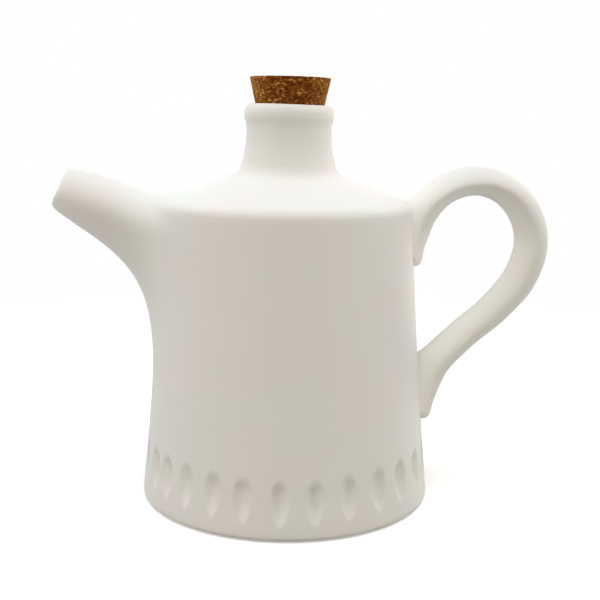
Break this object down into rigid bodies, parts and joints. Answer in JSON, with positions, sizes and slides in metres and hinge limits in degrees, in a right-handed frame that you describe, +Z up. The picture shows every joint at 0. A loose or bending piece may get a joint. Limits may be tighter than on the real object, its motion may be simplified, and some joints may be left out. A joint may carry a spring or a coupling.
{
  "type": "oil cruet",
  "caption": "Flared matte ceramic pouring pot with a waisted neck, an upswept hollow spout, a looped handle and a tapered cork stopper, for keeping and pouring oil.",
  "frame": {"origin": "on the pot's axis, at the underside of its flat base", "axes": "+Z up along the pot's axis; +X from the axis towards the handle, with the spout on -X; +Y to the far side of a viewer who has the spout on the left"},
  "size_m": [0.168, 0.0994, 0.1411],
  "materials": {
    "matte_clay": "matte",
    "cork": "matte, granular"
  },
  "bodies": {
    "pot": {"pot_body": "matte_clay", "shoulder_and_neck": "matte_clay", "pouring_spout": "matte_clay", "strap_handle": "matte_clay"},
    "cork": {"cork_stopper": "cork"}
  },
  "joints": [
    {"name": "cork_pull", "type": "slide", "parent": "pot", "child": "cork", "axis": [0, 0, 1], "range_m": [0, 0.04]}
  ]
}
